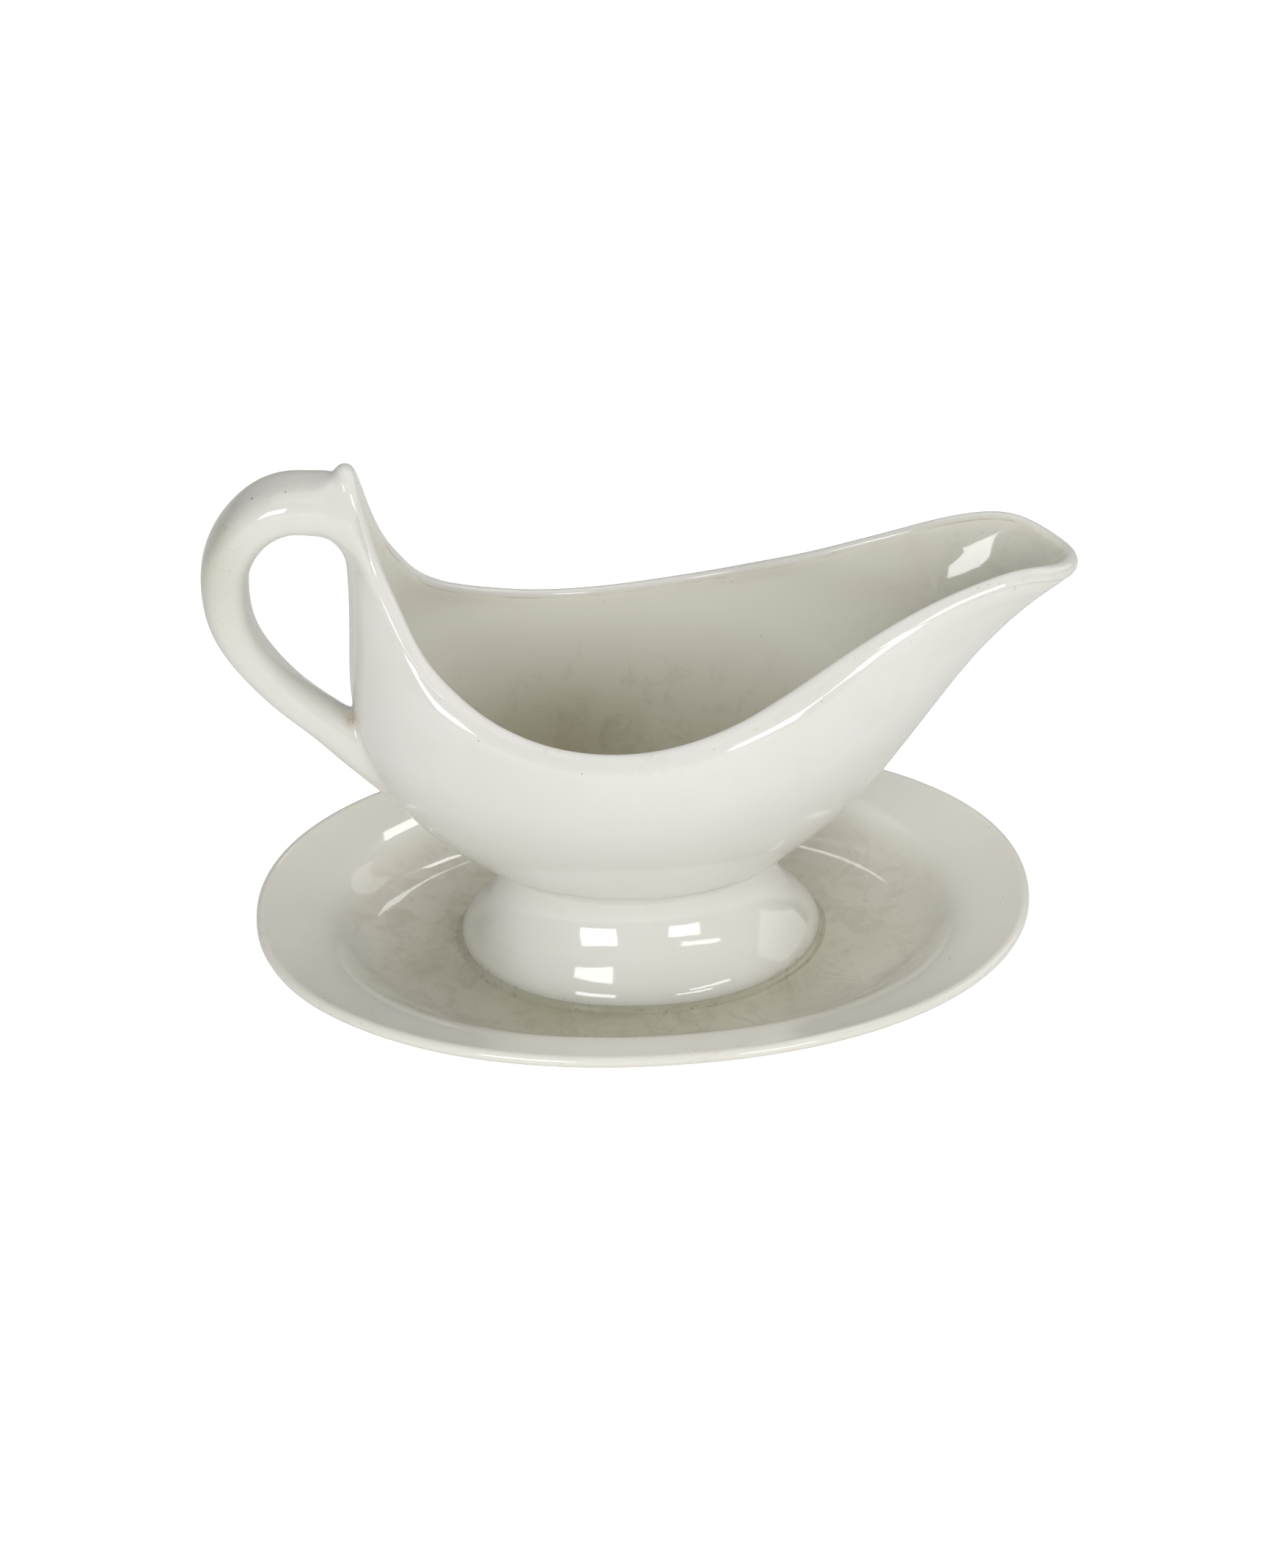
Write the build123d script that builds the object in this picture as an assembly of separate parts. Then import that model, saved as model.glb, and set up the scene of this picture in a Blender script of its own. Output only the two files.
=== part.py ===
from build123d import *
import math
import os

# Footed gravy boat on its own fixed oval stand, glazed white earthenware.
# Millimetres, +Z up, pouring lip towards +X (front), handle towards -X (rear).
# Origin: on the table plane, under the middle of the overall length and width.
# Bowl, handle, foot, slip bead and saucer are separate solids.
# They are modelled about the saucer centre, with z = 0 on the upper face of
# the saucer floor, and moved into the frame above when written.

SAUCER_X = -1.05         # saucer centre along X, so the overall box is centred
FLOOR_Z = 8.5            # upper face of the saucer floor above the table

# ---------------------------------------------------------------------- bowl
NECK_Z = 25.0            # joint between foot and bowl
BOWL_FLOOR_Z = NECK_Z + 5.0   # inside of the bowl, above the clay at the neck
RIM_RADII = (1.7, 1.4, 1.0, 0.6)   # rim rounding, preferred size first

# Waterlines: z, rear x, front x, half beam, rear fullness, front fullness
# (fullness 1 = half ellipse, less = more pointed)
NECK = (NECK_Z, -37.2, 34.2, 22.2, 1.00, 1.00)
BOWL_OUTER = [
    NECK,
    (27.2, -41.0, 37.3, 23.7, 0.99, 0.98),
    (30.0, -44.7, 40.6, 25.3, 0.98, 0.95),
    (36.0, -52.2, 47.4, 28.7, 0.96, 0.90),
    (44.0, -59.8, 55.6, 32.9, 0.94, 0.85),
    (52.0, -65.1, 62.1, 36.6, 0.91, 0.81),
    (60.0, -68.7, 67.6, 39.6, 0.89, 0.77),
    (70.0, -71.3, 74.1, 42.0, 0.87, 0.75),
    (80.0, -72.4, 80.5, 42.6, 0.89, 0.74),
    (90.0, -72.6, 88.4, 40.6, 0.97, 0.72),
    (100.0, -72.3, 98.0, 35.5, 1.00, 0.74),
    (110.0, -72.0, 110.2, 30.4, 1.01, 0.86),
    (118.0, -71.9, 120.6, 26.7, 1.02, 0.96),
    (126.0, -71.9, 130.0, 22.8, 1.03, 1.00),
    (136.0, -72.0, 140.0, 18.6, 1.04, 1.04),
    (150.0, -72.4, 152.0, 14.4, 1.05, 1.05),
]
BOWL_INNER = [
    (BOWL_FLOOR_Z, -22.0, 20.0, 11.5, 1.00, 1.00),
    (BOWL_FLOOR_Z + 0.7, -29.5, 26.8, 15.6, 1.00, 1.00),
    (BOWL_FLOOR_Z + 2.2, -36.2, 32.8, 19.0, 1.00, 1.00),
    (35.0, -42.4, 38.4, 22.1, 0.98, 0.96),
    (39.5, -48.8, 44.6, 25.2, 0.95, 0.90),
    (45.0, -54.4, 50.0, 28.3, 0.92, 0.84),
    (52.0, -60.0, 56.5, 31.8, 0.89, 0.79),
    (60.0, -64.0, 62.3, 35.0, 0.86, 0.74),
    (70.0, -66.8, 68.9, 37.6, 0.84, 0.71),
    (80.0, -68.0, 75.4, 38.2, 0.85, 0.71),
    (90.0, -68.2, 82.4, 35.8, 0.95, 0.71),
    (100.0, -67.9, 91.6, 30.6, 0.98, 0.72),
    (110.0, -67.6, 103.4, 25.7, 0.97, 0.82),
    (118.0, -67.4, 113.4, 21.9, 0.97, 0.93),
    (126.0, -67.4, 122.6, 18.1, 0.95, 0.95),
    (136.0, -67.5, 132.4, 14.1, 0.93, 0.93),
    (151.0, -67.9, 145.0, 10.4, 0.90, 0.90),
]
# Rim line seen from the side, rear to front: x, z
SHEER = [
    (-90.0, 146.9), (-80.0, 146.9), (-72.6, 146.7), (-70.0, 144.6), (-68.1, 140.4),
    (-65.8, 132.6), (-62.2, 121.7), (-58.8, 112.3), (-55.1, 104.8),
    (-50.9, 99.0), (-45.9, 94.6), (-40.1, 91.1), (-33.9, 88.2), (-27.1, 86.0),
    (-19.8, 84.6), (-12.1, 84.0), (-4.0, 84.2), (4.4, 85.2), (13.4, 87.1),
    (23.0, 90.2), (33.3, 94.3), (44.6, 99.2), (56.7, 104.7), (69.6, 110.1),
    (82.0, 114.3), (91.0, 116.0), (98.0, 115.4), (104.0, 113.4), (110.0, 110.8),
    (122.0, 105.5),
]
# Block that trims the bowl above the sheer, reaching well clear of it
TRIM_REAR, TRIM_FRONT, TRIM_TOP, TRIM_HALF_WIDTH = -110, 170, 180, 90

# -------------------------------------------------------------------- handle
# Ribs along the centre line, from the upper end to the lower:
# x, z, thickness across the loop, width along Y, squareness
HANDLE = [
    (-69.0, 129.6, 24.0, 14.0, 2.2),
    (-72.2, 130.8, 22.0, 17.0, 2.3),
    (-74.6, 132.8, 17.8, 17.8, 2.5),
    (-78.2, 134.9, 13.4, 18.0, 2.8),
    (-84.2, 135.6, 12.4, 18.0, 2.9),
    (-89.6, 134.2, 12.2, 17.8, 2.9),
    (-94.5, 130.8, 12.1, 17.4, 2.8),
    (-98.8, 125.1, 12.0, 16.8, 2.7),
    (-101.2, 119.0, 11.9, 16.2, 2.6),
    (-101.9, 112.6, 11.8, 15.4, 2.5),
    (-101.4, 104.4, 11.3, 14.4, 2.4),
    (-98.9, 96.4, 10.4, 13.4, 2.3),
    (-94.6, 88.9, 9.8, 12.6, 2.2),
    (-88.5, 80.9, 9.4, 12.3, 2.2),
    (-80.8, 73.0, 9.6, 12.4, 2.2),
    (-74.2, 66.2, 10.2, 13.0, 2.2),
    (-67.8, 59.4, 10.4, 13.4, 2.2),
    (-62.0, 53.2, 8.8, 12.4, 2.2),
    (-56.0, 47.2, 5.0, 8.6, 2.2),
]
ROOT_RIBS = 2                    # upper ribs that share one fixed direction
ROOT_DIRECTION = (-1.0, 0.05)    # that direction: x, z

# ------------------------------------------------------------- foot and bead
FOOT_X = -0.8                    # foot centre
FOOT_A, FOOT_B = 47.2, 34.3      # half length and half width at the widest
# Ovals: z, half length, half width
FOOT_OUTER = [(0.0, 46.6, 33.7), (1.4, FOOT_A, FOOT_B), (3.2, 46.5, 33.6), (6.0, 44.5, 31.5),
              (10.0, 41.6, 28.5), (15.0, 38.6, 25.2), (20.0, 36.6, 22.9), (23.0, 35.9, 22.2)]
FOOT_INNER = [(-0.5, 42.4, 29.4), (5.0, 40.2, 27.2), (10.0, 37.0, 23.9),
              (16.0, 33.4, 20.0), (NECK_Z + 0.5, 31.2, 17.6)]
# Slip bead: z, spread beyond the widest foot oval
BEAD = [(0.0, 2.6), (0.5, 1.75), (1.3, 0.95), (2.4, 0.10)]

# -------------------------------------------------------------------- saucer
SAUCER_A, SAUCER_B = 102.0, 68.7 # outside half length and half width
SAUCER_SQUARENESS = 2.12         # 2 = ellipse
FLOOR_T = 4.5                    # thickness of the saucer floor
RING_A, RING_B = 66.0, 38.0      # foot ring, outside half length and half width
RING_W = 5.5                     # width of the foot ring at its root
RING_OUTER_TAPER = 1.0           # outside drawn in at the table
RING_INNER_TAPER = 0.8           # inside opened out at the table
RING_OVERLAP = 0.6               # ring runs up into the floor
VENT_R = 2.5                     # firing vent under the hollow foot
VENT_EXTRA = 4                   # vent cutter length beyond the floor thickness
# Ovals: z, half length, half width; the last SAUCER_TOP oval clears the rim
SAUCER_TOP = [(0.0, 71.0, 41.5), (0.8, 75.0, 45.0), (2.5, 78.5, 47.8), (5.0, 81.3, 50.2),
              (7.0, 84.0, 52.4), (9.0, 89.6, 57.0), (11.0, 96.0, 62.6),
              (12.6, 100.2, 66.8), (13.6, 102.4, 69.0)]
SAUCER_UNDER = [(-FLOOR_T, 68.0, 39.6), (-4.0, 72.2, 42.8), (-2.0, 78.0, 47.6),
                (1.0, 83.6, 52.4), (4.0, 89.2, 57.0), (6.5, 95.4, 62.4),
                (8.6, 100.4, 67.0), (10.6, SAUCER_A, SAUCER_B), (12.6, 101.2, 67.9)]


# ------------------------------------------------------------------ sections
def smooth_face(points):
    return Face(Wire(Spline(*points, periodic=True)))


def circle_points(count):
    """Cosine and sine at equal angles round the circle."""
    angles = [2 * math.pi * k / count for k in range(count)]
    return [(math.cos(angle), math.sin(angle)) for angle in angles]


def superellipse_points(squareness, count):
    """Unit superellipse at equal polar angles, so the ends stay smooth."""
    points = []
    for c, s in circle_points(count):
        radius = (abs(c) ** squareness + abs(s) ** squareness) ** (-1 / squareness)
        points.append((radius * c, radius * s))
    return points


def waterline(row, count=28):
    z, rear, front, beam, rear_fullness, front_fullness = row
    points = []
    for c, s in circle_points(count):
        reach, fullness = (-rear, rear_fullness) if c < 0 else (front, front_fullness)
        points.append((reach * c, beam * s * (1 - (1 - fullness) * c ** 2), z))
    return smooth_face(points)


def ellipses(rows, center_x=0.0):
    return [smooth_face([(center_x + a * c, b * s, z) for c, s in circle_points(32)])
            for z, a, b in rows]


def saucer_ovals(rows):
    outline = superellipse_points(SAUCER_SQUARENESS, 36)
    return [smooth_face([(a * u, b * v, z) for u, v in outline]) for z, a, b in rows]


def handle_rib(index):
    """Section square to the handle's centre line, which lies in the XZ plane."""
    x, z, thickness, width, squareness = HANDLE[index]
    if index < ROOT_RIBS:
        along_x, along_z = ROOT_DIRECTION
    else:
        before = HANDLE[index - 1]
        after = HANDLE[min(index + 1, len(HANDLE) - 1)]
        along_x, along_z = after[0] - before[0], after[1] - before[1]
    length = math.hypot(along_x, along_z)
    normal_x, normal_z = -along_z / length, along_x / length
    points = []
    for u, v in superellipse_points(squareness, 20):
        across = thickness / 2 * v
        points.append((x + normal_x * across, width / 2 * u, z + normal_z * across))
    return smooth_face(points)


def largest(shape):
    return shape.solids().sort_by(SortBy.VOLUME)[-1]


# -------------------------------------------------------------------- pieces
def above_sheer():
    rear_x, rear_z = SHEER[0]
    front_x, front_z = SHEER[-1]
    sheer = Spline(*[(x, 0, z) for x, z in SHEER])
    frame = Polyline((front_x, 0, front_z), (TRIM_FRONT, 0, front_z), (TRIM_FRONT, 0, TRIM_TOP),
                     (TRIM_REAR, 0, TRIM_TOP), (TRIM_REAR, 0, rear_z), (rear_x, 0, rear_z))
    profile = Face(Wire([sheer, *frame.edges()]))
    return extrude(profile, amount=TRIM_HALF_WIDTH, dir=(0, 1, 0), both=True)


def make_bowl(bowl_outer):
    bowl_inner = loft([waterline(row) for row in BOWL_INNER])
    bowl = largest(bowl_outer - bowl_inner - above_sheer())
    # long edges that reach the height of the rim
    rim = [edge for edge in bowl.edges()
           if edge.length > 80 and edge.bounding_box().max.Z > 105]
    for radius in RIM_RADII:
        # the fillet can fail on the thin wall, so the next smaller radius is tried
        try:
            rounded = fillet(rim, radius)
            if rounded.is_valid and len(rounded.solids()) == 1:
                return rounded.solids()[0]
        except Exception:
            continue
    return bowl


def make_handle(bowl_outer):
    """Loop whose ends are cut to the bowl's outer skin."""
    return largest(loft([handle_rib(i) for i in range(len(HANDLE))]) - bowl_outer)


def make_foot_seam(foot_outer, foot_inner):
    """Slip bead round the base of the foot, on the saucer floor."""
    rows = [(z, FOOT_A + spread, FOOT_B + spread) for z, spread in BEAD]
    return largest(loft(ellipses(rows, FOOT_X)) - foot_outer - foot_inner)


def make_saucer():
    body = loft(saucer_ovals(SAUCER_UNDER))
    dish = loft(saucer_ovals(SAUCER_TOP))
    stand = loft(ellipses([
        (-FLOOR_Z, RING_A - RING_OUTER_TAPER, RING_B - RING_OUTER_TAPER),
        (-FLOOR_T + RING_OVERLAP, RING_A, RING_B),
    ]))
    inside_a, inside_b = RING_A - RING_W, RING_B - RING_W
    hollow = loft(ellipses([
        (-FLOOR_Z, inside_a + RING_INNER_TAPER, inside_b + RING_INNER_TAPER),
        (-FLOOR_T, inside_a, inside_b),
    ]))
    vent = Pos(FOOT_X, 0, -FLOOR_T / 2) * Cylinder(VENT_R, FLOOR_T + VENT_EXTRA)
    saucer = body - dish + stand - hollow
    return largest(saucer - vent)


bowl_outer = loft([waterline(row) for row in BOWL_OUTER])
# the foot's top section is the bowl's neck, so the two meet there
foot_outer = loft(ellipses(FOOT_OUTER, FOOT_X) + [waterline(NECK, 32)])
foot_inner = loft(ellipses(FOOT_INNER, FOOT_X))

pieces = {
    "bowl": make_bowl(bowl_outer),
    "handle": make_handle(bowl_outer),
    "foot": (foot_outer - foot_inner).solids()[0],
    "foot_seam": make_foot_seam(foot_outer, foot_inner),
    "saucer": make_saucer(),
}
os.makedirs("parts", exist_ok=True)
for name, piece in pieces.items():
    export_step(Pos(SAUCER_X, 0, FLOOR_Z) * piece, "parts/" + name + ".step")
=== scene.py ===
# A glazed ceramic sauce boat standing on its oval saucer.
# The long axis is x: the handle is at -x (left), the pouring lip at +x (right). The front
# faces -y and z is up. Every piece is symmetric in y, apart from small unevenness.
import math

import bpy
import numpy as np
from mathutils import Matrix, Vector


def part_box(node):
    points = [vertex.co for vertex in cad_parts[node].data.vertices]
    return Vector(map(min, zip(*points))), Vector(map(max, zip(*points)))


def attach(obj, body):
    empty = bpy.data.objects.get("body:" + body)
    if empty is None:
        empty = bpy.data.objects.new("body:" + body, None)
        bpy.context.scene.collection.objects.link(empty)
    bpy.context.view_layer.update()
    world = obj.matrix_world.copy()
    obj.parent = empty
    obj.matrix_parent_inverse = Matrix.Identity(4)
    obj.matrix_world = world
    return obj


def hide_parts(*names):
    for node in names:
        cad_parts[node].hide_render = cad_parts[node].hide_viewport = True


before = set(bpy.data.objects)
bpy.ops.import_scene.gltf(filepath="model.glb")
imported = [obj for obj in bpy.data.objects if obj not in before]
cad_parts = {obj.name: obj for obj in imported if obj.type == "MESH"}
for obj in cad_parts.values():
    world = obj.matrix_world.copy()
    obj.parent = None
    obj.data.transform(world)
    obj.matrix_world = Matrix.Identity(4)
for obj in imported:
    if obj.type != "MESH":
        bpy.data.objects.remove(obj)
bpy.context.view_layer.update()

import openvdb
from mathutils import Matrix, Vector
from mathutils.kdtree import KDTree

PI = math.pi

# ----------------------------------------------------------- frame and main sizes
# Design coordinates are millimetres: x from the saucer's centre, z above the
# saucer's floor, which the boat stands on.
saucer_low, saucer_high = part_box("saucer")
CENTRE_X = (saucer_low.x + saucer_high.x) / 2 * 1000.0
FLOOR_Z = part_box("foot")[0].z * 1000.0
NECK_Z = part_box("bowl")[0].z * 1000.0 - FLOOR_Z     # where the foot meets the bowl
TABLE_Z = -FLOOR_Z                                  # under the saucer

FOOT_X = -0.8
NECK_X, NECK_HALF_LENGTH, NECK_HALF_WIDTH = -1.45, 35.7, 22.0
HALF_WALL = 2.2
WALL_START_Z = 22.0      # level 0 of the bowl's wall; level 1 is the rim
FLARE_Z = 32.4           # the neck's fillet ends here on the outside
BOTTOM_Z = 37.0          # the rounded bottom starts here on the inside
BOTTOM_THICKNESS = 5.0
ROLL_DEPTH, ROLL_RADIUS = 4.6, 8.5    # the outside of the rim rolls in over this depth
FAR = 60.0               # "rim" value for points away from any rim

SEGMENTS = 432
ANGLES = 2 * PI * np.arange(SEGMENTS) / SEGMENTS
COS, SIN = np.cos(ANGLES), np.sin(ANGLES)
NEIGHBOURS = [(i, (i + 1) % SEGMENTS) for i in range(SEGMENTS)]


def to_world(points):
    return (np.asarray(points, float) + [CENTRE_X, 0.0, FLOOR_Z]) / 1000.0


# ------------------------------------------------------------------------ helpers
class Spline:
    """Natural cubic spline."""

    def __init__(self, x, y):
        x, y = np.asarray(x, float), np.asarray(y, float)
        count, step = len(x), np.diff(x)
        slope = np.diff(y) / step
        matrix, right = np.zeros((count, count)), np.zeros(count)
        matrix[0, 0] = matrix[-1, -1] = 1
        for i in range(1, count - 1):
            matrix[i, i - 1:i + 2] = step[i - 1], 2 * (step[i - 1] + step[i]), step[i]
            right[i] = 6 * (slope[i] - slope[i - 1])
        self.x, self.y, self.step = x, y, step
        self.bend = np.linalg.solve(matrix, right)

    def __call__(self, at):
        at = np.asarray(at, float)
        i = np.clip(np.searchsorted(self.x, at) - 1, 0, len(self.x) - 2)
        step = self.step[i]
        left, right = (self.x[i + 1] - at) / step, (at - self.x[i]) / step
        bend = (left**3 - left) * self.bend[i] + (right**3 - right) * self.bend[i + 1]
        return left * self.y[i] + right * self.y[i + 1] + bend * step * step / 6


def splines(table):
    """One spline for each further column, over the first."""
    columns = np.array(table, float).T
    return [Spline(columns[0], column) for column in columns[1:]]


def smooth(start, end, x):
    t = np.clip((np.asarray(x, float) - start) / (end - start), 0, 1)
    return t * t * (3 - 2 * t)


def bell(x):
    return np.exp(-(x**2))


def blob(points, centre, spread):
    """1 at the centre, fading over the spread along each axis."""
    return np.exp(-(((points - np.array(centre)) / spread) ** 2).sum(-1))


def unit(vectors):
    return vectors / np.maximum(np.linalg.norm(vectors, axis=-1, keepdims=True), 1e-12)


def dot(a, b):
    return (a * b).sum(-1)


def quadratic(start, handle, end, t):
    return (1 - t) ** 2 * start + 2 * t * (1 - t) * handle + t * t * end


def cubic(start, handle_a, handle_b, end, t):
    u = 1 - t
    return u**3 * start + 3 * u * u * t * handle_a + 3 * u * t * t * handle_b + t**3 * end


def oval(centre_x, half_length, half_width, z):
    """A ring of SEGMENTS points; the sizes may vary round the ring."""
    return np.stack([centre_x + half_length * COS, half_width * SIN, z + 0 * COS], -1)


def quads(first, second):
    """Faces between the rings that start at these two vertices."""
    return [(first + i, first + j, second + j, second + i) for i, j in NEIGHBOURS]


def closed_tube(rings, sharp_rings, reverse=False):
    """Vertices, faces and sharp vertices of rings joined in order, the last to the first."""
    starts = [k * SEGMENTS for k in range(len(rings))]
    faces = []
    for start, following in zip(starts, starts[1:] + starts[:1]):
        faces += quads(following, start) if reverse else quads(start, following)
    sharp = [starts[k] + i for k in sharp_rings for i in range(SEGMENTS)]
    return np.concatenate(rings), faces, sharp


# ------------------------------------------------- unevenness, grime and meshes
# Hand-made unevenness of slip-cast ware, the same field for every piece.
WAVES = []
rng = np.random.default_rng(7)
for wave_length, height, count in ((70.0, 0.10, 5), (32.0, 0.035, 7), (14.0, 0.008, 8)):
    for _ in range(count):
        direction = rng.normal(size=3)
        direction /= np.linalg.norm(direction)
        wave = direction * 2 * PI / (wave_length * rng.uniform(0.8, 1.25))
        WAVES.append((wave, rng.uniform(0, 2 * PI), height / math.sqrt(count)))


def wobble(points):
    """Small smooth displacement in mm, fading to none under the saucer."""
    offset = np.zeros_like(points)
    for i, (wave, phase, height) in enumerate(WAVES):
        offset[:, i % 3] += height * np.sin(points @ wave + phase) * 1.2
    return offset * smooth(-7.8, -3.5, points[:, 2])[:, None]


# strength, centre, spread
GRIME_SPOTS = [
    (0.70, (115, 0, 110), (5, 8, 5)),            # tip of the lip
    (0.50, (84, -15, 113), (16, 6, 4)),          # front edge of the lip
    (0.40, (62, -26, 106), (22, 6, 5)),
    (0.95, (-101, -4, 127), (7, 9, 13)),         # top bend of the handle
    (0.45, (-90, -3, 140), (10, 7, 4)),
    (1.00, (-73.5, -3.2, 76.5), (2.0, 3.0, 2.2)),    # the handle's lower joint
]


def grime_at(points, rim):
    """0..1: where specks and stains gather."""
    x, y, z = points.T
    grime = sum(strength * blob(points, *spot) for strength, *spot in GRIME_SPOTS)
    grime = grime + 0.30 * bell((rim - 1.0) / 3.0) * (rim < 40)
    # round the bottom edge of the foot
    radius = np.hypot((x - FOOT_X) / 48.4, y / 35.6)
    grime += 0.9 * bell((radius - 1.0) * 42 / 2.2) * (z < 3.2) * (z > -1)
    return np.clip(grime, 0, 1)


def add_object(name, data):
    item = bpy.data.objects.new(name, data)
    bpy.context.scene.collection.objects.link(item)
    return item


def mark_sharp(mesh, sharp):
    """Marks the edges whose two ends are both in sharp."""
    ends = np.zeros(len(mesh.edges) * 2, int)
    mesh.edges.foreach_get("vertices", ends)
    marked = np.zeros(len(mesh.vertices), bool)
    marked[list(sharp)] = True
    layer = (mesh.attributes.get("sharp_edge")
             or mesh.attributes.new("sharp_edge", "BOOLEAN", "EDGE"))
    layer.data.foreach_set("value", marked[ends.reshape(-1, 2)].all(1))


def face_outward(mesh):
    """Turns the faces over if the enclosed volume comes out negative."""
    places = np.zeros(len(mesh.vertices) * 3)
    mesh.vertices.foreach_get("co", places)
    mesh.calc_loop_triangles()
    corners = np.zeros(len(mesh.loop_triangles) * 3, int)
    mesh.loop_triangles.foreach_get("vertices", corners)
    first, second, third = places.reshape(-1, 3)[corners.reshape(-1, 3)].transpose(1, 0, 2)
    if (first * np.cross(second, third)).sum() < 0:
        mesh.flip_normals()


def make_piece(name, verts, faces, sharp=(), rim=FAR, inside=0.0, **masks):
    """A smooth object with the point attributes that the glaze reads."""
    masks = {"rim": rim, "inside": inside, **masks, "grime": grime_at(verts, rim)}
    # a brown stain where the handle's lower arm meets the bowl
    masks["stain"] = blob(verts, (-73.3, -2.9, 74.0), (1.5, 1.7, 2.6))
    mesh = bpy.data.meshes.new(name)
    places = to_world(verts + wobble(verts))
    mesh.from_pydata(places.tolist(), [], [[int(i) for i in face] for face in faces])
    mesh.validate()
    mesh.shade_smooth()
    if len(sharp):
        mark_sharp(mesh, sharp)
    for key, value in masks.items():
        layer = mesh.attributes.new(key, "FLOAT", "POINT")
        layer.data.foreach_set("value", np.broadcast_to(value, len(verts)).astype(np.float32))
    mesh.update()
    face_outward(mesh)
    return add_object(name, mesh)


# -------------------------------------------------------------- bowl: mid-surface
# height, x at the handle end, x at the lip end, half width, and how much of that
# width is left towards the handle end and towards the lip end
X_HANDLE_END, X_LIP_END, BOWL_HALF_WIDTH, HANDLE_FULLNESS, LIP_FULLNESS = splines([
    (20, -27, 25.5, 17.6, 1, 1), (26, -35.1, 32.6, 20.3, 1, 1),
    (30, -40.9, 37.2, 22.7, .98, .96), (36, -48.8, 44.1, 26.2, .96, .9),
    (44, -56.9, 52.6, 30.4, .93, .84), (52, -62.6, 59.4, 34.2, .9, .8),
    (60, -66.5, 65.0, 37.3, .88, .76), (70, -69.6, 71.5, 39.8, .86, .73),
    (80, -70.8, 77.9, 40.4, .87, .73), (88, -70.8, 83.7, 39, .93, .72),
    (97, -70.3, 91.9, 34.7, .95, .71), (103, -70.0, 98.2, 31.8, .92, .76),
    (108, -69.8, 104.4, 29.8, .88, .80), (114, -69.7, 112, 27.6, .85, .92),
    (121, -69.8, 120.6, 25.6, .85, .96), (133, -70.2, 134, 23.4, .89, 1),
    (150, -71.0, 150, 22.5, .92, 1)])
END_BLEND = 2.5          # how sharply the lip end's length gives way to the handle end's


def mid_surface(angle, z):
    """Middle of the wall; angle 0 is the lip end, pi the handle end."""
    cos, sin = np.cos(angle), np.sin(angle)
    lip_share = 0.5 * (1 + np.tanh(END_BLEND * cos) / math.tanh(END_BLEND))
    x = cos * (X_LIP_END(z) * lip_share - X_HANDLE_END(z) * (1 - lip_share))
    fullness = (1 - (1 - HANDLE_FULLNESS(z)) * np.minimum(cos, 0) ** 2
                - (1 - LIP_FULLNESS(z)) * np.maximum(cos, 0) ** 2)
    return np.stack([x, BOWL_HALF_WIDTH(z) * sin * fullness, z + 0 * angle], -1)


def angle_where(axis, value, z):
    """Angle at height z where x (axis 0), or y near the handle (axis 1), has the value."""
    low, high = (0.0 if axis == 0 else PI / 2), PI
    for _ in range(50):
        middle = (low + high) / 2
        if mid_surface(middle, float(z))[axis] > value:
            low = middle
        else:
            high = middle
    return (low + high) / 2


# Rim of the mid-surface: the tongue at the handle by (y, z), the rest by (x, z).
RIM_TONGUE = [(1.0, 142.7), (2.0, 141.2), (3.3, 137.9), (4.6, 133.0), (7.8, 121.2)]
RIM_SIDE = [
    (-61.2, 110.9), (-57.4, 103.4), (-52.8, 97.7), (-47.2, 93.2), (-41.2, 89.4),
    (-34.7, 86.4), (-27.6, 84.0), (-20.1, 82.5), (-12.2, 81.8), (-3.9, 81.9), (4.8, 82.9),
    (14, 84.9), (23.7, 87.9), (34.2, 92.1), (45.5, 97.0), (57.6, 102.5), (70.4, 107.9),
    (82.4, 112.0), (91, 113.7), (97.6, 113.1), (102.6, 111.4)]
TONGUE_TIP_Z, LIP_TIP_Z = 143.1, 110.1


def rim_spline():
    """Rim height over angle, mirrored past both ends so it crosses y = 0 level."""
    knots = [(PI, TONGUE_TIP_Z), (0.0, LIP_TIP_Z)]
    knots += [(angle_where(1, y, z), z) for y, z in RIM_TONGUE]
    knots += [(angle_where(0, x, z), z) for x, z in RIM_SIDE]
    knots = np.array(sorted(knots))
    before = knots[2:0:-1] * [-1, 1]
    after = knots[-2:-4:-1] * [-1, 1] + [2 * PI, 0]
    return Spline(*np.concatenate([before, knots, after]).T)


RIM_SPLINE = rim_spline()


def fold(angle):
    """0..2pi to 0..pi; the two halves mirror."""
    angle = np.mod(angle, 2 * PI)
    return np.where(angle > PI, 2 * PI - angle, angle)


def wall_height(angle):
    return RIM_SPLINE(fold(angle)) - WALL_START_Z


def wall_mid(angle, level):
    return mid_surface(angle, WALL_START_Z + wall_height(angle) * level)


def level_at(z):
    return (z - WALL_START_Z) / wall_height(ANGLES)


def half_wall(angle, level):
    """Half the wall's thickness: it swells at the rim, most of all on the tongue."""
    bead_swell, rim_swell = 0.34, 0.20
    bead = bead_swell * bell((PI - fold(angle)) / 0.40) * smooth(0.88, 0.995, level)
    return HALF_WALL + bead + rim_swell * smooth(0.93, 1.0, level) * (1 - bead / bead_swell)


def wall_frame(angle, level, step=1e-4):
    """Point of the mid-surface, its upward derivative and its outward normal."""
    around = (wall_mid(angle + step, level) - wall_mid(angle - step, level)) / (2 * step)
    upward = (wall_mid(angle, level + step) - wall_mid(angle, level - step)) / (2 * step)
    return wall_mid(angle, level), upward, unit(np.cross(around, upward))


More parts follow.
